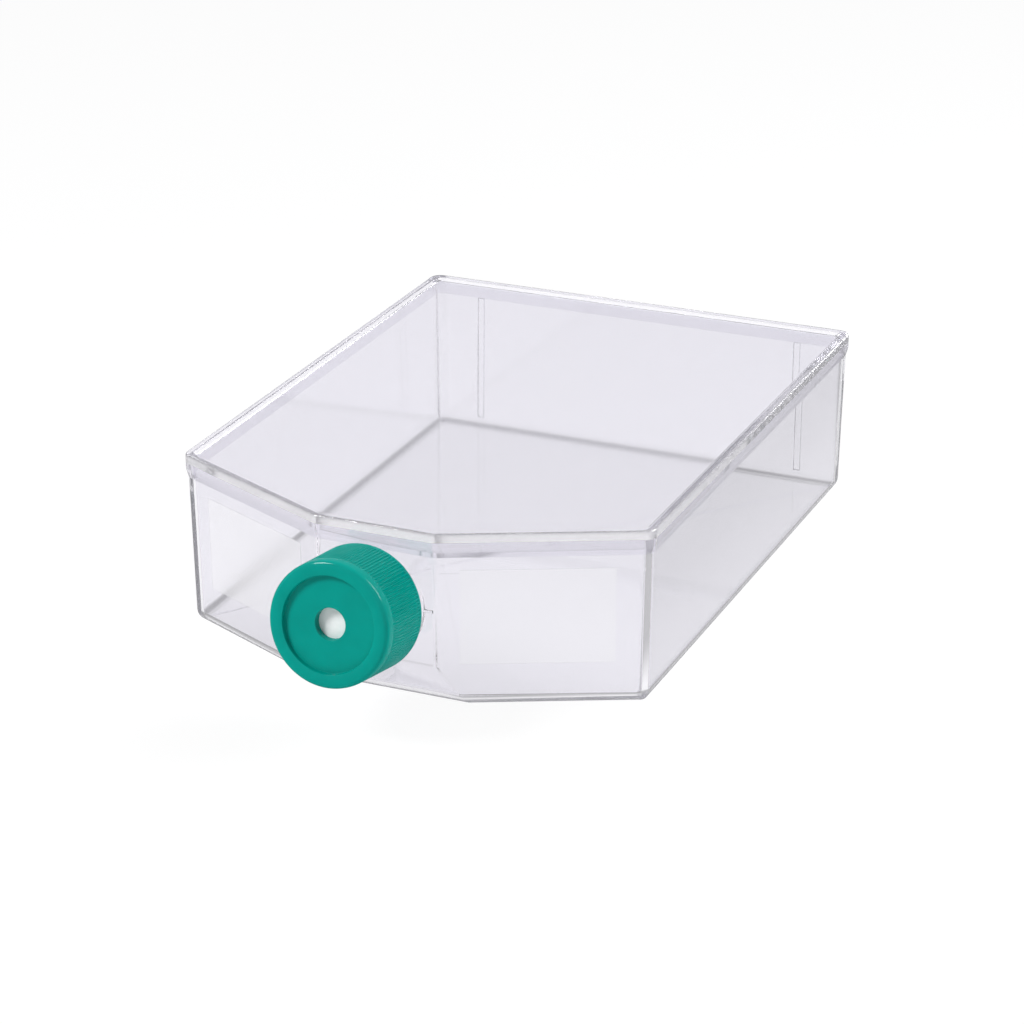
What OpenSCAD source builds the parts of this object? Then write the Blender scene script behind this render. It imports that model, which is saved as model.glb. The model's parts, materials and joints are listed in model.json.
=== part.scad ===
// Cell culture flask: a flat clear flask with a stacking rim, a canted screw neck and a vented cap.
// Frame: origin at the middle of the base, +X across, -Y towards the neck, +Z up. Millimetres.

/* [Body outline] */
// Width across the stacking rim
rim_w = 120; // [90:1:160]
// Length of each straight side, measured on the rim
side_l = 145; // [100:1:200]
// How far the angled shoulders reach forward of the straight sides
shoulder_d = 21.5; // [14:0.5:34]
// Width of the flat face that carries the neck, measured on the rim
neck_face_w = 29.6; // [29:0.2:40]
// Height from the base to the top of the rim
body_h = 43.8; // [40:0.2:64]

/* [Tray] */
// Thickness of the side walls
wall = 1.6; // [1:0.1:2.4]
// Thickness of the floor
floor_t = 1.6; // [1:0.1:2.4]
// Radius of the outer edge around the base
edge_r = 3.2; // [2.6:0.1:4]
// Radius where the floor turns up into the walls inside
fillet_r = 1.5; // [0.5:0.1:2.5]
// Radius of the upright corners inside
inner_corner_r = 2.5; // [1:0.1:4]
// Radius of the upright corners outside
corner_r = 2; // [0.5:0.1:3]
// Height of the slope under the neck
ramp_h = 10.2; // [5:0.1:11]
// How far the slope draws the base back from the neck face
ramp_d = 3.2; // [1:0.1:6]

/* [Rear ribs] */
// Distance of each upright rib from the nearest side wall
rib_inset = 13; // [6:0.5:40]
// Width of a rib
rib_w = 1.8; // [1:0.1:3]
// How far a rib stands out of the rear wall
rib_d = 0.8; // [0.3:0.1:1.2]

/* [Top plate] */
// How far the rim overhangs the walls
rim_over = 1.5; // [1:0.1:2.5]
// Height of the rim's band
rim_h = 6; // [4:0.1:8]
// Height of the slanted underside of the band
rim_slant_h = 2; // [0.5:0.1:2.5]
// Height of the stacking lip above the plate
lip_h = 0.8; // [0.5:0.1:1]
// Thickness of the plate
plate_t = 1.6; // [1:0.1:2.4]

/* [Neck] */
// How far below the top of the rim the neck's axis meets the neck face
neck_drop = 19.3; // [18:0.1:26]
// Upward cant of the neck
neck_cant = 9.5; // [0:0.5:14]
// Diameter of the neck's bore
bore_d = 21.4; // [14:0.1:22]
// Thickness of the neck's wall under its thread
neck_wall = 1.6; // [1.2:0.1:2]
// How far the neck flares out at the neck face
root_flare = 1.2; // [0.5:0.1:1.4]
// Length of the flared root
root_l = 4; // [2:0.1:6]
// Plain length between the thread and the neck's mouth
mouth_land = 2.7; // [2:0.1:4]

/* [Thread] */
// Advance of the thread in one turn
pitch = 4; // [3.6:0.1:5]
// Turns of thread on the neck
neck_turns = 1.5; // [1:0.05:1.7]
// Turns of thread in the cap
cap_turns = 1.25; // [0.75:0.05:1.3]
// Height of a thread ridge
thread_h = 0.8; // [0.5:0.05:1]
// Width of a thread ridge at its root
thread_root_w = 1.8; // [1.4:0.1:1.9]
// Width of a thread ridge at its crest
thread_crest_w = 0.9; // [0.5:0.1:1.1]

/* [Cap] */
// Gap along the axis between the neck face and the cap's open end
cap_gap = 7.8; // [6:0.1:10]
// Length of the cap
cap_l = 17.6; // [17:0.1:22]
// Thickness of the cap's skirt at its open end
cap_wall = 1.7; // [1.2:0.1:3]
// How much narrower the cap's front is than its open end
cap_taper = 0.7; // [0:0.1:1.5]
// Radius of the cap's front shoulder
cap_shoulder_r = 1; // [0.6:0.1:1.6]
// Width of the raised edge around the cap's face
face_edge_w = 3.35; // [2:0.05:5]
// Depth of the face inside the raised edge
recess_t = 1.2; // [0.3:0.1:1.5]
// Thickness of the disc
disc_t = 2; // [1:0.1:2.4]
// Diameter of the vent hole
vent_d = 7.4; // [3:0.1:10]
// Height of the sealing plug that enters the neck
plug_h = 2; // [1:0.1:3]
// Thickness of the sealing plug's wall
plug_wall = 1; // [0.6:0.1:1.5]

/* [Vent membrane] */
// Diameter of the membrane
membrane_d = 15; // [11:0.1:17]
// Thickness of the membrane
membrane_t = 0.3; // [0.15:0.05:0.5]

/* [Clearances] */
// Between the thread crests and the surface that faces them
thread_gap = 0.2; // [0.15:0.05:0.3]
// Between the flanks of the two threads when the cap is tight
flank_gap = 0.2; // [0.1:0.05:0.3]
// Between the sealing plug and the neck's bore
plug_gap = 0.1; // [0.05:0.01:0.15]
// Between the rim's band and the walls it is welded around
weld_gap = 0.05; // [0.02:0.01:0.1]
// Between the stacking lip and the rounded base edge of the flask that rests inside it
stack_gap = 0.35; // [0.2:0.05:0.6]

/* [Hidden] */
$fn = 96;

rim_l = side_l + shoulder_d;                  // length over the rim
plate_z = body_h - lip_h;                     // top of the plate inside the lip
wall_top = plate_z - plate_t;                 // the plate rests here
rim_z = body_h - rim_h;                       // underside of the band
rim_corner_r = corner_r + rim_over;
base_inset = rim_over + edge_r - sqrt(pow(edge_r, 2) - pow(edge_r - lip_h, 2));
lip_w = base_inset - stack_gap;               // the next flask's base fits inside this
rib_x = rim_w / 2 - rim_over - rib_inset;
arc_steps = 8;                                // straight pieces in one rounded upright corner
reach = 10;                                   // how far a cutting shape runs past what it cuts
neck_face_y = -rim_l / 2 + rim_over;          // outer face of the wall that carries the neck
ramp_tilt = atan(ramp_d / ramp_h);
neck_z = body_h - neck_drop;
neck_r = bore_d / 2 + neck_wall;

cap_end = cap_gap + cap_l;                    // the cap's front, along the neck's axis
ceiling = cap_end - recess_t - disc_t;        // the neck's mouth closes against this
cap_bore_r = neck_r + thread_h + thread_gap;
cap_r = cap_bore_r + cap_wall;
thread_start = ceiling - mouth_land - thread_root_w / 2 - pitch * neck_turns;
thread_mid_w = (thread_root_w + thread_crest_w) / 2;
cap_thread_start = thread_start - thread_mid_w - flank_gap;
thread_root_sink = 0.3;                       // how deep a ridge's root is set into its wall
thread_segments = 36;                         // straight pieces in one turn
thread_fade = 30;                             // angle over which a ridge rises at each end
plug_r = bore_d / 2 - plug_gap;

// Six corners of the rim's outer edge, anticlockwise from the left of the neck
rim_outline = [
    [-neck_face_w / 2, -rim_l / 2],
    [neck_face_w / 2, -rim_l / 2],
    [rim_w / 2, -rim_l / 2 + shoulder_d],
    [rim_w / 2, rim_l / 2],
    [-rim_w / 2, rim_l / 2],
    [-rim_w / 2, -rim_l / 2 + shoulder_d]
];

function unit(v) = v / norm(v);
function inward(a, b) = let (u = unit(b - a)) [-u[1], u[0]];
function before(pts, i) = pts[(i + len(pts) - 1) % len(pts)];
function after(pts, i) = pts[(i + 1) % len(pts)];

// The outline with every side moved in by d
function inset(pts, d) = [
    for (i = [0:len(pts) - 1])
        let (n1 = inward(before(pts, i), pts[i]), n2 = inward(pts[i], after(pts, i)))
            pts[i] + d * (n1 + n2) / (1 + n1 * n2)
];

// The outline with every corner turned into an arc of radius r
function rounded(pts, r) = [
    for (i = [0:len(pts) - 1])
        let (
            n1 = inward(before(pts, i), pts[i]),
            n2 = inward(pts[i], after(pts, i)),
            centre = pts[i] + r * (n1 + n2) / (1 + n1 * n2),
            start = atan2(-n1[1], -n1[0]),
            turn = acos(n1 * n2)
        )
        for (k = [0:arc_steps])
            let (a = start + turn * k / arc_steps) centre + r * [cos(a), sin(a)]
];

module prism(pts, z0, z1) {
    translate([0, 0, z0]) linear_extrude(z1 - z0) polygon(pts);
}

// Runs its 2D child along every side of an outline. In the child, x is the distance in from
// the side and y is the height. A child is drawn for a side that has its inside at +x.
module along_sides(pts, z) {
    for (i = [0:len(pts) - 1]) {
        p = pts[i];
        q = after(pts, i);
        run = q - p;
        translate([p[0], p[1], z])
            rotate(atan2(run[1], run[0]))
                translate([-reach, 0, 0])
                    rotate([90, 0, 90])
                        linear_extrude(norm(run) + 2 * reach) children();
    }
}

// What rounding takes off an edge: the base runs along +x and the wall rises at an angle
module edge_waste(r, angle = 90) {
    t = r / tan(angle / 2);
    base_point = [t, 0];
    wall_point = t * [cos(angle), sin(angle)];
    centre = [t, r];
    difference() {
        polygon([
            base_point, base_point + [0, -1], -centre / 2,
            wall_point + [-sin(angle), cos(angle)], wall_point, centre
        ]);
        translate(centre) circle(r);
    }
}

// The slope under the neck face, as a solid that lies in front of it
module ramp_waste(y, inward_by) {
    top = 1.5 * ramp_h;
    function face_y(z) = y + ramp_d * (1 - z / ramp_h) + inward_by / cos(ramp_tilt);
    translate([-rim_w / 2, 0, 0])
        rotate([90, 0, 90])
            linear_extrude(rim_w)
                polygon([
                    [face_y(-reach), -reach], [face_y(top), top],
                    [y - 2 * reach, top], [y - 2 * reach, -reach]
                ]);
}

// A closed shape with the tray's outer form: rounded base edge and a slope under the neck
module tray_form() {
    pts = inset(rim_outline, rim_over);
    difference() {
        prism(rounded(pts, corner_r), 0, wall_top);
        along_sides(pts, 0) edge_waste(edge_r);
        ramp_waste(neck_face_y, 0);
        translate([-rim_w / 2, neck_face_y + ramp_d, 0])
            rotate([90, 0, 90])
                linear_extrude(rim_w) edge_waste(edge_r, 90 + ramp_tilt);
    }
}

// The hollow inside the tray
module tray_hollow() {
    pts = inset(rim_outline, rim_over + wall);
    difference() {
        prism(rounded(pts, inner_corner_r), floor_t, wall_top + reach);
        along_sides(pts, floor_t) edge_waste(fillet_r);
        ramp_waste(neck_face_y, wall);
    }
}

// Puts its children on the neck's axis: z runs out of the neck from the neck face
module on_neck() {
    translate([0, neck_face_y, neck_z]) rotate([90 - neck_cant, 0, 0]) children();
}

// One ridge of thread: a swept trapezoid that fades in and out. side is 1 outside, -1 inside.
module ridge(r, side, turns, start) {
    steps = ceil(turns * thread_segments);
    function height(a) = thread_h * min(1, (a + 2) / thread_fade, (360 * turns + 2 - a) / thread_fade);
    function section(k) =
        let (
            a = 360 * turns * k / steps,
            z = start + pitch * a / 360,
            root = r - side * thread_root_sink,
            crest = r + side * height(a),
            wr = thread_root_w / 2 * (1 + thread_root_sink / thread_h / 2),
            wc = thread_crest_w / 2
        )
        [for (p = [[root, -wr], [crest, -wc], [crest, wc], [root, wr]])
            [p[0] * cos(a), p[0] * sin(a), z + p[1]]];
    points = [for (k = [0:steps]) each section(k)];
    body = [
        for (k = [0:steps - 1], j = [0:3])
            let (a = 4 * k + j, b = 4 * k + (j + 1) % 4)
                each (side > 0 ? [[a, b, a + 4], [b, b + 4, a + 4]] : [[a, a + 4, b], [b, a + 4, b + 4]])
    ];
    last = 4 * steps;
    ends = side > 0
        ? [[3, 2, 1, 0], [last, last + 1, last + 2, last + 3]]
        : [[0, 1, 2, 3], [last + 3, last + 2, last + 1, last]];
    polyhedron(points, concat(body, ends));
}

// Upright ribs on the rear wall, from the rounded base edge to the rim
module rear_ribs() {
    for (side = [-1, 1])
        translate([side * rib_x - rib_w / 2, rim_l / 2 - rim_over - wall / 2, edge_r])
            cube([rib_w, wall / 2 + rib_d, rim_z - edge_r]);
}

// The tray and its neck, moulded in one
module flask_body() {
    color([0.93, 0.93, 0.96, 0.45]) {
        difference() {
            union() {
                tray_form();
                rear_ribs();
                on_neck() {
                    cylinder(h = ceiling, r = neck_r);
                    translate([0, 0, -root_l]) cylinder(h = root_l, r = neck_r + root_flare);
                    cylinder(h = root_l, r1 = neck_r + root_flare, r2 = neck_r);
                    ridge(neck_r, 1, neck_turns, thread_start);
                }
            }
            tray_hollow();
            on_neck() translate([0, 0, -reach]) cylinder(h = ceiling + 2 * reach, d = bore_d);
        }
    }
}

// The lid plate with its band and stacking lip, welded onto the tray
module top_plate() {
    color([0.95, 0.95, 0.97, 0.45]) {
        difference() {
            prism(rounded(rim_outline, rim_corner_r), rim_z, body_h);
            prism(rounded(inset(rim_outline, rim_over - weld_gap), corner_r + weld_gap), rim_z - 1, wall_top);
            prism(rounded(inset(rim_outline, lip_w), rim_corner_r - lip_w), plate_z, body_h + 1);
            along_sides(rim_outline, rim_z)
                polygon([[-1, -1], [rim_over, -1], [rim_over, 0], [0, rim_slant_h], [-1, rim_slant_h]]);
        }
    }
}

// The screw cap: skirt, shoulder, recessed disc with the vent hole, sealing plug and thread
module cap_shell() {
    front_r = cap_r - cap_taper / 2;
    color([0, 0.57, 0.5])
        on_neck()
            difference() {
                union() {
                    difference() {
                        rotate_extrude() cap_outline(front_r);
                        translate([0, 0, cap_gap - 1])
                            cylinder(h = ceiling - cap_gap + 1, r = cap_bore_r);
                    }
                    rotate_extrude()
                        translate([plug_r - plug_wall, ceiling - plug_h])
                            square([plug_wall, plug_h + disc_t / 2]);
                    ridge(cap_bore_r, -1, cap_turns, cap_thread_start);
                }
                translate([0, 0, ceiling - 1]) cylinder(h = cap_l, d = vent_d);
            }
}

// Half of the cap's outer outline, solid inside
module cap_outline(front_r) {
    centre = [front_r - cap_shoulder_r, cap_end - cap_shoulder_r];
    recess_r = front_r - face_edge_w;
    polygon([
        [0, cap_gap], [cap_r, cap_gap], [front_r, centre[1]], centre,
        [centre[0], cap_end], [recess_r, cap_end], [recess_r, cap_end - recess_t],
        [0, cap_end - recess_t]
    ]);
    intersection() {
        translate(centre) circle(cap_shoulder_r);
        translate(centre) square(cap_shoulder_r);
    }
}

// The gas-permeable disc welded under the vent hole
module vent_membrane() {
    color([0.95, 0.95, 0.94])
        on_neck() translate([0, 0, ceiling - membrane_t]) cylinder(h = membrane_t, d = membrane_d);
}

flask_body();
top_plate();
cap_shell();
vent_membrane();
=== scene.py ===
"""A cell culture flask: a clear tray with a canted screw neck, a top plate, a ribbed cap and its vent."""
import json
import math

import bmesh
import bpy
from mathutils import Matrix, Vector

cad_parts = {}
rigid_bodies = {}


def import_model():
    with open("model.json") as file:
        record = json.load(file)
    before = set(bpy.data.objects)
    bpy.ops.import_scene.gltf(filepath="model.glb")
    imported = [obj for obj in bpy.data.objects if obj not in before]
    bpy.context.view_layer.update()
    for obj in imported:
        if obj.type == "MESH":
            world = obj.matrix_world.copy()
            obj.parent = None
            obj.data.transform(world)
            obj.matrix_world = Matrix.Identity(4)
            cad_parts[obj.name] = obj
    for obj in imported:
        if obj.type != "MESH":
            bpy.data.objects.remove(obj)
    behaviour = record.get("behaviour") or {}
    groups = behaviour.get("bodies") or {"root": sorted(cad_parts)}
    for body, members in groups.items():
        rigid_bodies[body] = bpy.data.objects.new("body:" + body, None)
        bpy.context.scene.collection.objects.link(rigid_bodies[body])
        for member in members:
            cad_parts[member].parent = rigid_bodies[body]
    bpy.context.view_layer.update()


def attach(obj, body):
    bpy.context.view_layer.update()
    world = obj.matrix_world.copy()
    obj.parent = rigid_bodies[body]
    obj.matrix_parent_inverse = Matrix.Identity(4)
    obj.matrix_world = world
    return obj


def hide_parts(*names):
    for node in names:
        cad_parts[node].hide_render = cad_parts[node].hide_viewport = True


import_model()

# ---- Tray
# The tray is one injection moulding of clear polystyrene, 1.6 mm thick all over. Its front
# narrows to the face that carries the neck, and the base draws back under that face so
# that a flask below can keep its cap. Every edge has the radius that the mould gives it.
MM = 0.001
WALL_HALF_W = 59.3 * MM
WALL_HALF_L = 82.55 * MM
NECK_FACE_HALF_W = 14.64 * MM
TRAY_TOP = 41.4 * MM
DRAFT = 0.7 * MM  # how far each wall leans in on its way down, to leave the mould
WALL_T = 1.6 * MM
TRAY_CORNER_R = 1.6 * MM
TRAY_EDGE_R = 3 * MM
HOLLOW_CORNER_R = 2.5 * MM
HOLLOW_EDGE_R = 1.5 * MM
SHOULDER_ACROSS = 45.2  # a shoulder goes this far sideways while it goes back by the next
SHOULDER_BACK = 21.5
SHOULDER_OUT = Vector((SHOULDER_BACK, -SHOULDER_ACROSS, 0)).normalized()
SHOULDER_MIDDLE = 40 * MM
NECK_CORNER_TURN = 25.44  # degrees that the outline turns at the inner end of a shoulder
SIDE_CORNER_TURN = 64.56
SLOPE_H = 10.2 * MM  # the slope under the neck face, and how far it draws the base back
SLOPE_D = 3.5 * MM
SLOPE_FRONT = -75 * MM
BEND_CUT = 0.5 * MM


def deselect():
    """Leaves no object selected."""
    for item in bpy.context.view_layer.objects.selected:
        item.select_set(False)


def choose(piece):
    """Makes a piece the only one selected."""
    deselect()
    bpy.context.view_layer.objects.active = piece
    piece.select_set(True)


def open_piece(piece):
    """Opens a piece in edit mode with nothing in it selected."""
    choose(piece)
    bpy.ops.object.mode_set(mode="EDIT")
    bpy.ops.mesh.select_all(action="DESELECT")


def close_piece():
    """Leaves edit mode."""
    bpy.ops.object.mode_set(mode="OBJECT")


def pick(kind, test):
    """Selects only the faces, edges or verts of the open piece that pass a test."""
    piece = bpy.context.object
    bpy.ops.mesh.select_mode(type=kind)
    bpy.ops.mesh.select_all(action="DESELECT")
    mesh = bmesh.from_edit_mesh(piece.data)
    for item in {"FACE": mesh.faces, "EDGE": mesh.edges, "VERT": mesh.verts}[kind]:
        if test(item):
            item.select_set(True)
    mesh.select_flush_mode()
    bmesh.update_edit_mesh(piece.data)


def slice_off(point, outward):
    """Cuts the open piece by a plane, drops what lies outside it and closes the cut."""
    bpy.ops.mesh.select_all(action="SELECT")
    bpy.ops.mesh.bisect(plane_co=point, plane_no=Vector(outward).normalized(), threshold=1e-6,
                        clear_outer=True, use_fill=True)


def mirrored(v, side):
    """A point or direction on the right side, or its mirror image when side is -1."""
    return Vector((side * v[0], v[1], v[2]))


def edge_way(edge):
    """The unit direction of an edge."""
    return (edge.verts[1].co - edge.verts[0].co).normalized()


def middle(edge):
    """The point halfway along an edge."""
    return (edge.verts[0].co + edge.verts[1].co) / 2


def at_height(edge, z):
    """Whether an edge lies level at this height."""
    return all(abs(v.co.z - z) < 1e-6 for v in edge.verts)


def block(name, half_w, half_l, low, high):
    """A rectangular block on the centre line, as the start of a piece."""
    deselect()
    bpy.ops.mesh.primitive_cube_add(size=1, location=(0, 0, (low + high) / 2))
    piece = bpy.context.object
    piece.name = name
    piece.scale = (2 * half_w, 2 * half_l, high - low)
    bpy.ops.object.transform_apply(location=True, rotation=False, scale=True)
    return piece


def round_uprights(radius, steps, upright=0.97):
    """Rounds the corners of the open piece that stand up this straight, each to the same radius."""
    for turn, here in (
        (90, lambda m: m.y > 0),
        (SIDE_CORNER_TURN, lambda m: m.y < 0 and abs(m.x) > SHOULDER_MIDDLE),
        (NECK_CORNER_TURN, lambda m: m.y < 0 and abs(m.x) < SHOULDER_MIDDLE),
    ):
        pick("EDGE", lambda e: abs(edge_way(e).z) > upright and here(middle(e)))
        bpy.ops.mesh.bevel(offset=radius * math.tan(math.radians(turn / 2)), segments=steps)


def apply_modifier(piece, kind, **settings):
    """Adds a modifier to a piece, sets it up and applies it."""
    choose(piece)
    added = piece.modifiers.new(kind.lower(), kind)
    for key, value in settings.items():
        setattr(added, key, value)
    bpy.ops.object.modifier_apply(modifier=added.name)


def cut_from(piece, tool):
    """Cuts the form of a tool out of a piece."""
    apply_modifier(piece, "BOOLEAN", operation="DIFFERENCE", object=tool, solver="EXACT")
    bpy.data.objects.remove(tool, do_unlink=True)


def six_sided(name, half_w, half_l, face_half_w, inward, low, high, lean=0, at=0):
    """Opens a new block with the flask's outline, moved in by a distance.

    The sizes hold at the height "at", and the sides lean in by "lean" per unit on the way down.
    """
    spare = 5 * MM
    piece = block(name, half_w + spare, half_l + spare, low, high)
    open_piece(piece)
    for out, edge in (
        ((1, 0, 0), (half_w, 0, at)),
        ((-1, 0, 0), (-half_w, 0, at)),
        ((0, 1, 0), (0, half_l, at)),
        ((0, -1, 0), (0, -half_l, at)),
        (SHOULDER_OUT, (face_half_w, -half_l, at)),
        (mirrored(SHOULDER_OUT, -1), (-face_half_w, -half_l, at)),
    ):
        slice_off(Vector(edge) - Vector(out) * inward, Vector(out) - Vector((0, 0, lean)))
    return piece


def on_bend(edge):
    """Whether an edge of the tray's form is the one between the neck face and the slope under it."""
    level = abs(edge.verts[0].co.z - edge.verts[1].co.z) < 1e-5
    return level and middle(edge).y < SLOPE_FRONT and abs(middle(edge).z - SLOPE_H) < 1 * MM


def tray_form(name, inward, low, high, corner_r, edge_r):
    """The form of the tray as a closed block, its sides moved in by a distance."""
    piece = six_sided(name, WALL_HALF_W, WALL_HALF_L, NECK_FACE_HALF_W, inward, low, high,
                      lean=DRAFT / TRAY_TOP, at=TRAY_TOP)
    slope_out = Vector((0, -SLOPE_H, -SLOPE_D)).normalized()
    bend = Vector((0, -WALL_HALF_L + DRAFT * (1 - SLOPE_H / TRAY_TOP), SLOPE_H))
    slice_off(bend - slope_out * inward, slope_out)
    round_uprights(corner_r, steps=5)
    pick("EDGE", on_bend)
    bpy.ops.mesh.bevel(offset=BEND_CUT, segments=3)
    pick("EDGE", lambda e: at_height(e, low))
    bpy.ops.mesh.bevel(offset=edge_r, segments=6)
    close_piece()
    return piece


tray = tray_form("tray", 0, 0, TRAY_TOP, TRAY_CORNER_R, TRAY_EDGE_R)
cut_from(tray, tray_form("tray_hollow", WALL_T, WALL_T, TRAY_TOP + 3 * MM, HOLLOW_CORNER_R, HOLLOW_EDGE_R))

# ---- Ribs on the rear wall
# Two upright ribs stand on the outside of the rear wall, part of the same moulding. They
# keep the wall from bowing and run from the rounded base edge up to the plate.
REAR_RIB_X = 45.5 * MM
REAR_RIB_HALF_W = 0.9 * MM
REAR_RIB_PROUD = 0.6 * MM
REAR_RIB_SUNK = 0.8 * MM
REAR_RIB_FOOT = TRAY_EDGE_R + 0.1 * MM
REAR_RIB_TOP = 37.7 * MM
REAR_RIB_EDGE_CUT = 0.3 * MM


def join_to(piece, other):
    """Makes another piece one with this one."""
    apply_modifier(piece, "BOOLEAN", operation="UNION", object=other, solver="EXACT")
    bpy.data.objects.remove(other, do_unlink=True)


for side in (1, -1):
    rib = block("rib", REAR_RIB_HALF_W, (REAR_RIB_PROUD + REAR_RIB_SUNK) / 2,
                REAR_RIB_FOOT, REAR_RIB_TOP)
    open_piece(rib)
    pick("EDGE", lambda e: middle(e).y > 0.5 * MM and abs(edge_way(e).y) < 0.1)
    bpy.ops.mesh.bevel(offset=REAR_RIB_EDGE_CUT, segments=2)
    pick("VERT", lambda v: v.co.z < 10 * MM)
    bpy.ops.transform.translate(value=(0, -DRAFT * (1 - TRAY_EDGE_R / TRAY_TOP), 0))
    bpy.ops.mesh.select_all(action="SELECT")
    rear = WALL_HALF_L + REAR_RIB_PROUD / 2 - REAR_RIB_SUNK / 2
    bpy.ops.transform.translate(value=(side * REAR_RIB_X, rear, 0))
    close_piece()
    join_to(tray, rib)

# ---- Neck
# The neck is moulded with the tray and leans up by 9.5 degrees, so that the cap clears the
# bench. It flares into the neck face, with a small web on each side, and carries one thread
# of one and a half turns.
NECK_ROOT = Vector((0, -81.75, 24.5)) * MM
NECK_LEAN = math.radians(9.5)
NECK_R = 12.3 * MM
NECK_SIDES = 96
NECK_THREAD_TURNS = 1.5
NECK_THREAD_START = 12.6 * MM
PITCH = 4 * MM
THREAD_ROOT_W = 1.8 * MM
THREAD_CREST_W = 0.9 * MM
THREAD_H = 0.8 * MM
THREAD_SUNK = 0.2 * MM
SUNK_SPREAD = 1.12  # the root is this much wider where it is sunk in its wall
THREAD_STEPS = 48  # in one turn
THREAD_OFFSET = math.radians(1.1)  # keeps the thread's facets off those of its wall
WEB_X = 13.4 * MM
WEB_LOW = 24 * MM
WEB_HIGH = 24.7 * MM
WEB_HALF_W = 1.1 * MM
WEB_HALF_D = 0.6 * MM
WEB_OUT = 0.4 * MM
WEB_EDGE_CUT = 0.2 * MM


def turned(name, sides, outline, ring=False):
    """A turned piece, drawn along z ring by ring as (height, radius) in mm. A ring closes on itself."""
    deselect()
    low, radius = outline[0]
    bpy.ops.mesh.primitive_circle_add(vertices=sides, radius=radius * MM, location=(0, 0, low * MM),
                                      fill_type="NOTHING" if ring else "NGON")
    piece = bpy.context.object
    piece.name = name
    bpy.ops.object.transform_apply(location=True, rotation=False, scale=False)
    open_piece(piece)
    bpy.ops.mesh.select_mode(type="EDGE" if ring else "FACE")
    bpy.ops.mesh.select_all(action="SELECT")
    for height, new_radius in outline[1:] + (outline[:1] if ring else []):
        bpy.ops.mesh.extrude_region_move(TRANSFORM_OT_translate={"value": (0, 0, (height - low) * MM)})
        grow = new_radius / radius
        bpy.ops.transform.resize(value=(grow, grow, 1), center_override=(0, 0, height * MM))
        low, radius = height, new_radius
    bpy.ops.mesh.select_all(action="SELECT")
    bpy.ops.mesh.remove_doubles(threshold=0.002 * MM)
    bpy.ops.mesh.normals_make_consistent(inside=False)
    close_piece()
    return piece


def on_neck(piece):
    """Turns and moves a piece drawn along z onto the neck's axis."""
    choose(piece)
    piece.rotation_euler = (math.radians(90) - NECK_LEAN, 0, 0)
    piece.location = NECK_ROOT
    bpy.ops.object.transform_apply(location=True, rotation=True, scale=False)
    return piece


def at_thread_end(vert, crest_r):
    """Whether a vert is on the crest of a thread, at one of its two ends."""
    along = Vector((-vert.co.y, vert.co.x, 0)).normalized()
    return abs(vert.co.xy.length - crest_r) < 0.01 * MM and any(
        abs(f.normal.z) < 0.2 and abs(f.normal.dot(along)) > 0.9 for f in vert.link_faces)


def thread(name, wall_r, out, turns, start):
    """A ridge of thread round z, sunk in its wall. out is 1 outside a wall, -1 inside one."""
    deselect()
    root_r = wall_r - out * THREAD_SUNK
    crest_r = wall_r + out * THREAD_H
    bpy.ops.mesh.primitive_plane_add(size=1, rotation=(math.radians(90), 0, 0),
                                     location=((root_r + crest_r) / 2, 0, start))
    piece = bpy.context.object
    piece.name = name
    piece.scale = (THREAD_H + THREAD_SUNK, THREAD_ROOT_W * SUNK_SPREAD, 1)
    bpy.ops.object.transform_apply(location=True, rotation=True, scale=True)
    open_piece(piece)
    pick("VERT", lambda v: abs(v.co.x - crest_r) < 0.01 * MM)
    narrow = THREAD_CREST_W / THREAD_ROOT_W / SUNK_SPREAD
    bpy.ops.transform.resize(value=(1, 1, narrow), center_override=(0, 0, start))
    bpy.ops.mesh.select_all(action="SELECT")
    bpy.ops.mesh.delete(type="ONLY_FACE")
    close_piece()
    steps = int(THREAD_STEPS * turns)
    apply_modifier(piece, "SCREW", axis="Z", angle=2 * math.pi * turns, screw_offset=PITCH * turns,
                   steps=steps, render_steps=steps, use_smooth_shade=False)
    open_piece(piece)
    bpy.ops.mesh.select_all(action="SELECT")
    bpy.ops.mesh.fill_holes(sides=4)
    bpy.ops.mesh.normals_make_consistent(inside=False)
    pick("VERT", lambda v: at_thread_end(v, crest_r))
    fade = (wall_r - out * 0.05 * MM) / crest_r
    bpy.ops.transform.resize(value=(fade, fade, 1), center_override=(0, 0, 0))
    close_piece()
    piece.rotation_euler = (0, 0, THREAD_OFFSET)
    bpy.ops.object.transform_apply(location=False, rotation=True, scale=False)
    return piece


neck = turned("neck", NECK_SIDES, [
    (-8, 12.55), (0.5, 12.55), (0.8, 12.4), (1.2, 12.32),  # root, sunk in the neck face
    (21.8, 12.3), (22.08, 12.2), (22.2, 11.9),  # mouth
])
join_to(neck, thread("neck_thread", NECK_R, 1, NECK_THREAD_TURNS, NECK_THREAD_START))
on_neck(neck)
open_piece(neck)
slice_off((0, -WALL_HALF_L + WALL_T / 2, 0), (0, 1, 0))
close_piece()
join_to(tray, neck)
for side in (1, -1):
    web = block("web", WEB_HALF_W, WEB_HALF_D, WEB_LOW, WEB_HIGH)
    open_piece(web)
    pick("EDGE", lambda e: middle(e).y < -0.5 * MM)
    bpy.ops.mesh.bevel(offset=WEB_EDGE_CUT, segments=2)
    bpy.ops.mesh.select_all(action="SELECT")
    bpy.ops.transform.translate(value=(side * WEB_X, -WALL_HALF_L + WEB_OUT, 0))
    close_piece()
    join_to(tray, web)
bore = turned("bore", NECK_SIDES, [(-8, 10.7), (21.85, 10.7), (22.1, 10.8), (22.2, 11), (23, 11)])
cut_from(tray, on_neck(bore))

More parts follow.
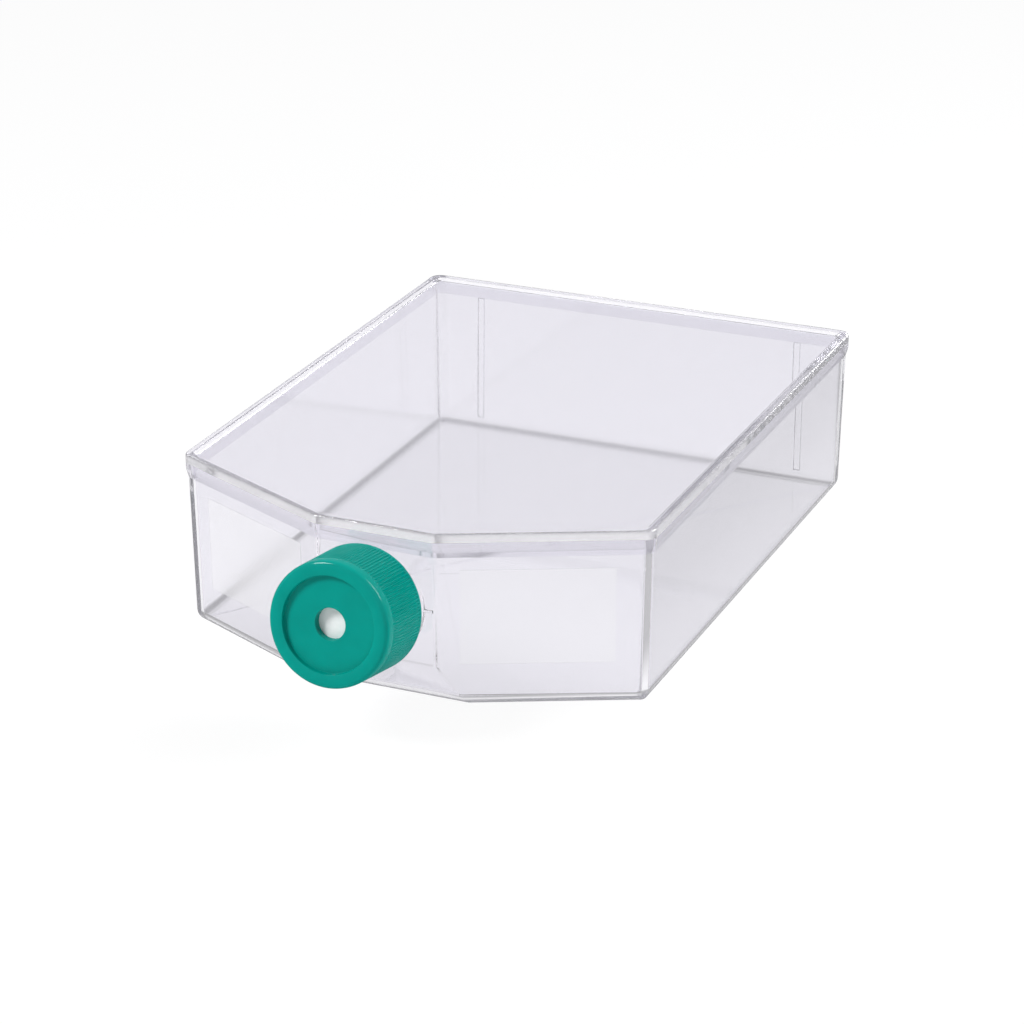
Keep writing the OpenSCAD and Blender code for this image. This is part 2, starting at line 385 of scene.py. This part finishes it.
# ---- Frosted panels and the witness line
# A writing panel is etched into the mould on each shoulder, and comes out as a matt field
# a few hundredths of a millimetre proud. A fine line left by the mould runs from it to the neck.
SHOULDER_ALONG = Vector((SHOULDER_ACROSS, SHOULDER_BACK, 0)).normalized()
PANEL_NEAR = 6 * MM
PANEL_FAR = 41.5 * MM
PANEL_LOW = 11 * MM
PANEL_HIGH = 34.6 * MM
PANEL_PROUD = 0.07 * MM
LINE_W = 0.3 * MM
LINE_NEAR = 1.2 * MM
LINE_LOW = 23 * MM
LINE_HIGH = 33.6 * MM


def shoulder_point(side, along, z):
    """A point on a shoulder, so far along it from the neck face and at this height."""
    corner = Vector((side * NECK_FACE_HALF_W, -WALL_HALF_L, 0))
    return corner + mirrored(SHOULDER_ALONG, side) * along + Vector((0, 0, z))


def on_shoulder(face, side):
    """Whether a face is on the outside of a shoulder."""
    out = mirrored(SHOULDER_OUT, side)
    away = (face.calc_center_median() - shoulder_point(side, 0, 0)).dot(out)
    return face.normal.dot(out) > 0.999 and abs(away) < 1 * MM


def score(side, along=None, z=None):
    """Cuts a shoulder's outer face along an upright line, or along a level one."""
    pick("FACE", lambda f: on_shoulder(f, side))
    bpy.ops.mesh.bisect(plane_co=shoulder_point(side, along or 0, z or 0), threshold=1e-6,
                        plane_no=(0, 0, 1) if along is None else mirrored(SHOULDER_ALONG, side))


def pick_field(side, near, far, low, high):
    """Selects the scored faces between two distances from the neck corner and two heights."""
    corner = shoulder_point(side, 0, 0)

    def within(face):
        centre = face.calc_center_median()
        along = (centre - corner).dot(mirrored(SHOULDER_ALONG, side))
        return on_shoulder(face, side) and near < along < far and low < centre.z < high

    pick("FACE", within)


def raise_field(side, near, far, low, high):
    """Lifts a scored field off the shoulder."""
    pick_field(side, near, far, low, high)
    lift = mirrored(SHOULDER_OUT, side) * PANEL_PROUD
    bpy.ops.mesh.extrude_region_move(TRANSFORM_OT_translate={"value": lift})


open_piece(tray)
for side in (1, -1):
    for along in (PANEL_NEAR, PANEL_FAR, LINE_NEAR, LINE_NEAR + LINE_W):
        score(side, along=along)
    for z in (PANEL_LOW, PANEL_HIGH, LINE_HIGH, LINE_HIGH + LINE_W, LINE_LOW):
        score(side, z=z)
    raise_field(side, PANEL_NEAR, PANEL_FAR, PANEL_LOW, PANEL_HIGH)
    if side == 1:
        raise_field(side, LINE_NEAR, PANEL_NEAR, LINE_HIGH, LINE_HIGH + LINE_W)
        raise_field(side, LINE_NEAR, LINE_NEAR + LINE_W, LINE_LOW, LINE_HIGH)
close_piece()

# ---- Finish of the tray
# The tray, its neck and its ribs are one clear plastic as it leaves a polished mould, with a
# faint lavender cast and a slight ripple. The panels are the same plastic with a matt skin, and
# their whiter tint is painted light for the brightness that the matt skin scatters.
TINT_MOTTLE = (18, 2)
CLEAR_TINTS = ((0.905, 0.898, 0.932), (0.895, 0.888, 0.922))
# The panels' whiter tint is painted light, standing in for the light their matt skin scatters.
FROSTED_TINTS_PAINTED_LIGHT = ((1, 1, 1), (0.98, 0.98, 0.99))
MOULD_RIPPLE = (20, 1, 0.05, 0.03 * MM)
ETCHED_GRAIN = (3000, 1, 0.3, 0.02 * MM)
POLYSTYRENE_IOR = 1.59
LIGHT_LET_THROUGH = (0.93, 0.925, 0.945, 1)


def surface(name, colours, roughness, mottle, grain):
    """A new material that wanders between two colours and two roughnesses, and has a bump.

    mottle is the scale and detail of the wandering. grain is the scale, detail, strength and
    height of the bump.
    """
    material = bpy.data.materials.new(name)
    material.use_nodes = True
    nodes, links = material.node_tree.nodes, material.node_tree.links
    skin = nodes["Principled BSDF"]
    place = nodes.new("ShaderNodeTexCoord")

    def cloud(scale, detail):
        noise = nodes.new("ShaderNodeTexNoise")
        noise.inputs["Scale"].default_value = scale
        noise.inputs["Detail"].default_value = detail
        links.new(place.outputs["Object"], noise.inputs["Vector"])
        return noise.outputs["Fac"]

    wander = cloud(*mottle)
    shade = nodes.new("ShaderNodeMix")
    shade.data_type = "RGBA"
    shade.inputs[6].default_value = (*colours[0], 1)
    shade.inputs[7].default_value = (*colours[1], 1)
    links.new(wander, shade.inputs[0])
    links.new(shade.outputs[2], skin.inputs["Base Color"])
    polish = nodes.new("ShaderNodeMapRange")
    polish.inputs["To Min"].default_value = roughness[0]
    polish.inputs["To Max"].default_value = roughness[1]
    links.new(wander, polish.inputs["Value"])
    links.new(polish.outputs["Result"], skin.inputs["Roughness"])
    scale, detail, strength, height = grain
    bump = nodes.new("ShaderNodeBump")
    bump.inputs["Strength"].default_value = strength
    bump.inputs["Distance"].default_value = height
    links.new(cloud(scale, detail), bump.inputs["Height"])
    links.new(bump.outputs["Normal"], skin.inputs["Normal"])
    return material


def clear_plastic(name, tints, roughness, grain, clearness=1):
    """Clear polystyrene. Lamps and soft light go straight through it."""
    material = surface(name, tints, roughness, TINT_MOTTLE, grain)
    nodes, links = material.node_tree.nodes, material.node_tree.links
    plastic = nodes["Principled BSDF"]
    plastic.inputs["Transmission Weight"].default_value = clearness
    plastic.inputs["IOR"].default_value = POLYSTYRENE_IOR
    clear = nodes.new("ShaderNodeBsdfTransparent")
    clear.inputs["Color"].default_value = LIGHT_LET_THROUGH
    light = nodes.new("ShaderNodeLightPath")
    look = plastic.outputs[0]
    for ray in ("Is Diffuse Ray", "Is Shadow Ray"):
        let_through = nodes.new("ShaderNodeMixShader")
        links.new(light.outputs[ray], let_through.inputs[0])
        links.new(look, let_through.inputs[1])
        links.new(clear.outputs[0], let_through.inputs[2])
        look = let_through.outputs[0]
    links.new(look, nodes["Material Output"].inputs["Surface"])
    return material


def give(piece, *materials):
    """Gives a piece its materials, the first one all over."""
    for material in materials:
        piece.data.materials.append(material)


def smooth_up_to(piece, angle):
    """Shades a piece smooth, but for edges sharper than so many degrees. Flat faces stay flat."""
    choose(piece)
    bpy.ops.object.shade_smooth_by_angle(angle=math.radians(angle))
    apply_modifier(piece, "WEIGHTED_NORMAL", keep_sharp=True, weight=100)


clear_walls = clear_plastic("clear_walls", CLEAR_TINTS, (0, 0.004), MOULD_RIPPLE)
frosted = clear_plastic("frosted", FROSTED_TINTS_PAINTED_LIGHT, (0.2, 0.28), ETCHED_GRAIN, clearness=0.95)
give(tray, clear_walls, frosted)
open_piece(tray)
for side in (1, -1):
    pick_field(side, PANEL_NEAR, PANEL_FAR, PANEL_LOW, PANEL_HIGH)
    tray.active_material_index = 1
    bpy.ops.object.material_slot_assign()
close_piece()
smooth_up_to(tray, 30)
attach(tray, "flask")
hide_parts("flask_body")

# ---- Top plate
# The lid is a second clear moulding, welded onto the tray. Its band hangs over the tray's
# walls and tapers in to them, and a lip round the plate holds the next flask of a stack.
PLATE_HALF_W = 60 * MM
PLATE_HALF_L = 83.25 * MM
PLATE_FACE_HALF_W = 14.8 * MM
PLATE_CORNER_R = 3 * MM
BAND_LOW = 39.8 * MM
BAND_FOOT = 37.8 * MM
BAND_TAPER = 0.6 * MM
BAND_FOOT_W = 0.09 * MM
BAND_EDGE_CUT = 0.7 * MM
WELD_GAP = 0.03 * MM
LIP_TOP = 43.8 * MM
LIP_W = 2.1 * MM
LIP_H = 0.8 * MM
LIP_INNER_CUT = 0.25 * MM
LIP_OUTER_CUT = 0.6 * MM
RECESS_CORNER_R = 1 * MM

plate = six_sided("top_plate", PLATE_HALF_W, PLATE_HALF_L, PLATE_FACE_HALF_W, 0, BAND_LOW, LIP_TOP)
round_uprights(PLATE_CORNER_R, steps=6)
pick("FACE", lambda f: f.normal.z < -0.9)
bpy.ops.mesh.inset(thickness=BAND_TAPER, depth=BAND_LOW - BAND_FOOT)
bpy.ops.mesh.inset(thickness=BAND_FOOT_W)
bpy.ops.mesh.extrude_region_move(TRANSFORM_OT_translate={"value": (0, 0, TRAY_TOP + WELD_GAP - BAND_FOOT)})
close_piece()
recess = six_sided("plate_recess", PLATE_HALF_W, PLATE_HALF_L, PLATE_FACE_HALF_W, LIP_W + LIP_H,
                   LIP_TOP - LIP_H, LIP_TOP + 1 * MM, lean=1, at=LIP_TOP - LIP_H)
round_uprights(RECESS_CORNER_R, steps=5, upright=0.5)
close_piece()
cut_from(plate, recess)
open_piece(plate)
pick("EDGE", lambda e: at_height(e, LIP_TOP) and any(0.3 < f.normal.z < 0.9 for f in e.link_faces))
bpy.ops.mesh.bevel(offset=LIP_INNER_CUT, segments=2)
pick("EDGE", lambda e: at_height(e, BAND_LOW))
bpy.ops.mesh.bevel(offset=BAND_EDGE_CUT, segments=3)
pick("EDGE", lambda e: at_height(e, LIP_TOP) and any(abs(f.normal.z) < 0.1 for f in e.link_faces))
bpy.ops.mesh.bevel(offset=LIP_OUTER_CUT, segments=3)
close_piece()
# The lid is given a little less polish than the tray, which softens the lines in its rim.
give(plate, clear_plastic("clear_lid", CLEAR_TINTS, (0.02, 0.04), MOULD_RIPPLE))
smooth_up_to(plate, 30)
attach(plate, "flask")
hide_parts("top_plate")

# ---- Cap
# The cap is moulded in coloured polyethylene. Fine ribs run along its side for grip, its face
# is set back inside a raised edge, and a plug and a thread inside it seal it on the neck.
GRIP_RIBS = 120
STEPS_A_RIB = 4
GRIP_DEPTH = 0.26 * MM
GRIP_LOW = 8.9 * MM
GRIP_HIGH = 22 * MM
GRIP_R = 14.85 * MM
SKIRT_MIDDLE_R = 14 * MM
CAP_BORE_R = 13.3 * MM
CAP_THREAD_TURNS = 1.25
CAP_THREAD_START = 11.05 * MM
TEALS = ((0.0, 0.228, 0.19), (0.0, 0.29, 0.24))
CAP_GRAIN = (1600, 2, 0.3, 0.03 * MM)

cap = turned("cap", STEPS_A_RIB * GRIP_RIBS, [
    (7.8, 13.6), (7.8, 14.75), (8.0, 14.98), (8.6, 14.98), (9.0, 14.97),  # foot of the skirt
    (21.9, 14.71), (22.4, 14.7), (24.4, 14.65),  # side
    (24.8, 14.57), (25.1, 14.36), (25.3, 14.05), (25.4, 13.65),  # rounded edge
    (25.4, 11.5), (25.34, 11.36), (25.2, 11.3),  # raised edge
    (24.5, 11.28), (24.28, 11.2), (24.2, 11),  # down to the face
    (24.2, 3.95), (24.12, 3.77), (23.95, 3.7), (22.2, 3.7),  # vent hole
    (22.2, 9.6), (20.5, 9.6), (20.2, 9.8), (20.2, 10.4), (20.5, 10.6), (22.2, 10.6),  # sealing plug
    (22.2, 13.3), (8.1, 13.3),  # bore
], ring=True)


def in_groove(vert):
    """Whether a vert of the cap is on its side, in a groove between two grip ribs."""
    steps = GRIP_RIBS * STEPS_A_RIB
    step = round(math.degrees(math.atan2(vert.co.y, vert.co.x)) / 360 * steps) % STEPS_A_RIB
    on_side = GRIP_LOW < vert.co.z < GRIP_HIGH and vert.co.xy.length > SKIRT_MIDDLE_R
    return on_side and step >= STEPS_A_RIB / 2


open_piece(cap)
pick("VERT", in_groove)
sink = 1 - GRIP_DEPTH / GRIP_R
bpy.ops.transform.resize(value=(sink, sink, 1), center_override=(0, 0, 0))
close_piece()
join_to(cap, thread("cap_thread", CAP_BORE_R, -1, CAP_THREAD_TURNS, CAP_THREAD_START))
on_neck(cap)
cap_plastic = surface("cap_plastic", TEALS, roughness=(0.24, 0.34), mottle=(160, 4), grain=CAP_GRAIN)
satin = cap_plastic.node_tree.nodes["Principled BSDF"].inputs
satin["Specular IOR Level"].default_value = 0
satin["Coat Weight"].default_value = 0.32
satin["Coat Roughness"].default_value = 0.1
satin["Coat IOR"].default_value = 1.5
give(cap, cap_plastic)
smooth_up_to(cap, 32)
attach(cap, "cap")
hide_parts("cap_shell")

# ---- Vent membrane
# A disc of white hydrophobic membrane covers the vent hole from the inside. It is pressed and
# welded to the cap's ceiling round its edge, and lets gas through but no germs.
MEMBRANE_WHITES = ((0.74, 0.755, 0.75), (0.83, 0.84, 0.835))
PORES = (1400, 3)
PORE_STRENGTH = 0.5
PORE_DEPTH = 0.03 * MM

membrane = turned("membrane", 64, [
    (21.9, 6.9), (21.9, 7.35), (21.95, 7.5), (22.14, 7.5), (22.19, 7.4), (22.19, 6.9),  # welded edge
    (22.12, 6.8), (22.12, 6.4), (22.19, 6.3), (22.19, 0.5),  # pressed ring and face
])
on_neck(membrane)
give(membrane, surface("membrane_cloth", MEMBRANE_WHITES, roughness=(0.75, 0.95), mottle=PORES,
                       grain=(*PORES, PORE_STRENGTH, PORE_DEPTH)))
smooth_up_to(membrane, 30)
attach(membrane, "vent")
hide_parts("vent_membrane")

# ---- Studio
# The flask stands on a white table before a white backdrop, under a soft lamp at the front left
# and a weaker one at the rear right. What clear plastic shows of the table has painted shade: a
# painted contact shadow close to the flask, a painted shadow on its right and painted shade in
# front of it. The room is greyer above and behind the camera.
TABLE_GLOW = 0.9
MIRRORED_TABLE = 0.3
CAMERA_PLACE = (0.296, -0.69525, 0.3328)
CAMERA_AIM = (0.003, -0.01, 0.019)
LENS = 115
LAMP_AIM = (0, -0.09, 0.03)
ROOM_GREY = (0.3, 0.3, 0.31, 1)
MIRRORED_ROOM = (0.5, 0.49, 0.55, 1)
WHITE = (1, 1, 1, 1)
WHITE_WAY = Vector((-0.4, 0.75, -0.55)).normalized()  # where the room is white through plastic
BOUNCES = 160  # light goes to and fro inside the plate many times before it leaves

deselect()
bpy.ops.mesh.primitive_plane_add(size=8, location=(0, 0, -0.5 * MM))
floor = bpy.context.object
floor.name = "table"
table_white = bpy.data.materials.new("table_white")
table_white.use_nodes = True
table_tree = table_white.node_tree
board = table_tree.nodes["Principled BSDF"]
board.inputs["Base Color"].default_value = (0.9, 0.9, 0.9, 1)
board.inputs["Roughness"].default_value = 0.7


def over(tree, below, chance, above):
    """Lays one look over another, shown by a chance of 0 to 1 or where a light path output is 1."""
    mix = tree.nodes.new("ShaderNodeMixShader")
    if isinstance(chance, float):
        mix.inputs[0].default_value = chance
    else:
        tree.links.new(chance, mix.inputs[0])
    tree.links.new(below, mix.inputs[1])
    tree.links.new(above, mix.inputs[2])
    return mix.outputs[0]


def glowing(strength=1.0):
    """A plain white glow of the table."""
    glow = table_tree.nodes.new("ShaderNodeEmission")
    glow.inputs["Strength"].default_value = strength
    return glow


def worked_out(kind, first, second=None):
    """One step of arithmetic on numbers or on the outputs of the table's nodes."""
    step = table_tree.nodes.new("ShaderNodeMath")
    step.operation = kind
    for slot, part in enumerate((first, second)):
        if isinstance(part, (int, float)):
            step.inputs[slot].default_value = part
        elif part is not None:
            table_tree.links.new(part, step.inputs[slot])
    return step.outputs[0]


def fades(value, start, end, first, last):
    """A smooth change from one strength to another as a value goes from start to end."""
    fade = table_tree.nodes.new("ShaderNodeMapRange")
    fade.interpolation_type = "SMOOTHSTEP"
    for socket, number in zip(("From Min", "From Max", "To Min", "To Max"), (start, end, first, last)):
        fade.inputs[socket].default_value = number
    table_tree.links.new(value, fade.inputs["Value"])
    return fade.outputs["Result"]


place = table_tree.nodes.new("ShaderNodeTexCoord")
split = table_tree.nodes.new("ShaderNodeSeparateXYZ")
table_tree.links.new(place.outputs["Object"], split.inputs[0])
across = split.outputs["X"]
lengthways = split.outputs["Y"]
either_side = worked_out("ABSOLUTE", across)
beside = worked_out("SUBTRACT", either_side, WALL_HALF_W - DRAFT)
beyond = worked_out("SUBTRACT", worked_out("ABSOLUTE", lengthways), WALL_HALF_L - DRAFT)
past_shoulder = worked_out(
    "SUBTRACT",
    worked_out("ADD", worked_out("MULTIPLY", either_side, SHOULDER_OUT.x),
               worked_out("MULTIPLY", lengthways, SHOULDER_OUT.y)),
    SHOULDER_OUT.x * NECK_FACE_HALF_W - SHOULDER_OUT.y * WALL_HALF_L - DRAFT)
outside = worked_out("MAXIMUM", worked_out("MAXIMUM", beside, beyond), past_shoulder)
# Painted shade on the table as clear plastic shows it: a painted contact shadow round the foot of the
# flask, which rises to a glow a little over plain white further out, a painted shadow to its right and
# painted shade in front of it.
painted_contact_shadow = fades(worked_out("ABSOLUTE", outside), start=0.5 * MM, end=4 * MM, first=0.51, last=1.16)
painted_shadow_on_right = fades(across, start=60 * MM, end=85 * MM, first=1, last=0.52)
painted_shade_in_front = fades(lengthways, start=-140 * MM, end=-30 * MM, first=0.55, last=1)
table_glow_with_painted_shade = glowing()
table_tree.links.new(worked_out("MULTIPLY", worked_out("MINIMUM", painted_shadow_on_right, painted_shade_in_front), painted_contact_shadow),
                     table_glow_with_painted_shade.inputs["Strength"])
ray = table_tree.nodes.new("ShaderNodeLightPath")
matt = board.outputs[0]
bright = over(table_tree, matt, TABLE_GLOW, glowing().outputs[0])
look = over(table_tree, matt, ray.outputs["Is Camera Ray"], bright)
look = over(table_tree, look, ray.outputs["Is Glossy Ray"], glowing(MIRRORED_TABLE).outputs[0])
look = over(table_tree, look, ray.outputs["Is Transmission Ray"], table_glow_with_painted_shade.outputs[0])
table_tree.links.new(look, table_tree.nodes["Material Output"].inputs["Surface"])
give(floor, table_white)


def aim(item, point):
    """Points a camera or a lamp at a place."""
    item.rotation_euler = (Vector(point) - item.location).to_track_quat("-Z", "Y").to_euler()


def soft_lamp(place, power, size):
    """A square lamp aimed at the front of the flask, which clear plastic doesn't show."""
    deselect()
    bpy.ops.object.light_add(type="AREA", location=place)
    lamp = bpy.context.object
    lamp.data.energy = power
    lamp.data.size = size
    lamp.visible_transmission = False
    aim(lamp, LAMP_AIM)


camera_data = bpy.data.cameras.new("camera")
camera = bpy.data.objects.new("camera", camera_data)
bpy.context.scene.collection.objects.link(camera)
camera.location = CAMERA_PLACE
aim(camera, CAMERA_AIM)
camera_data.lens = LENS
bpy.context.scene.camera = camera
soft_lamp((-0.56, -0.55, 0.72), power=9.4, size=0.3)
soft_lamp((0.55, 0.3, 0.55), power=6.5, size=0.4)

world = bpy.data.worlds.new("studio")
bpy.context.scene.world = world
world.use_nodes = True
room = world.node_tree


def backdrop(colour):
    """A plain look of the room."""
    plain = room.nodes.new("ShaderNodeBackground")
    plain.inputs[0].default_value = colour
    return plain


way = room.nodes.new("ShaderNodeTexCoord")
ahead = room.nodes.new("ShaderNodeVectorMath")
ahead.operation = "DOT_PRODUCT"
ahead.inputs[1].default_value = WHITE_WAY
room.links.new(way.outputs["Generated"], ahead.inputs[0])
ramp = room.nodes.new("ShaderNodeValToRGB")
grey_end, white_end = ramp.color_ramp.elements
grey_end.position, grey_end.color = 0, ROOM_GREY
white_end.position, white_end.color = 0.85, WHITE
room.links.new(ahead.outputs["Value"], ramp.inputs[0])
through_plastic = backdrop(WHITE)
room.links.new(ramp.outputs[0], through_plastic.inputs[0])
ray = room.nodes.new("ShaderNodeLightPath")
plain_room = room.nodes["Background"]
plain_room.inputs[0].default_value = ROOM_GREY
look = over(room, plain_room.outputs[0], ray.outputs["Is Glossy Ray"], backdrop(MIRRORED_ROOM).outputs[0])
look = over(room, look, ray.outputs["Is Transmission Ray"], through_plastic.outputs[0])
look = over(room, look, ray.outputs["Is Camera Ray"], backdrop(WHITE).outputs[0])
room.links.new(look, room.nodes["World Output"].inputs[0])

scene = bpy.context.scene
scene.view_settings.view_transform = "Standard"
scene.cycles.max_bounces = BOUNCES
scene.cycles.glossy_bounces = BOUNCES
scene.cycles.transmission_bounces = BOUNCES
scene.cycles.transparent_max_bounces = 32
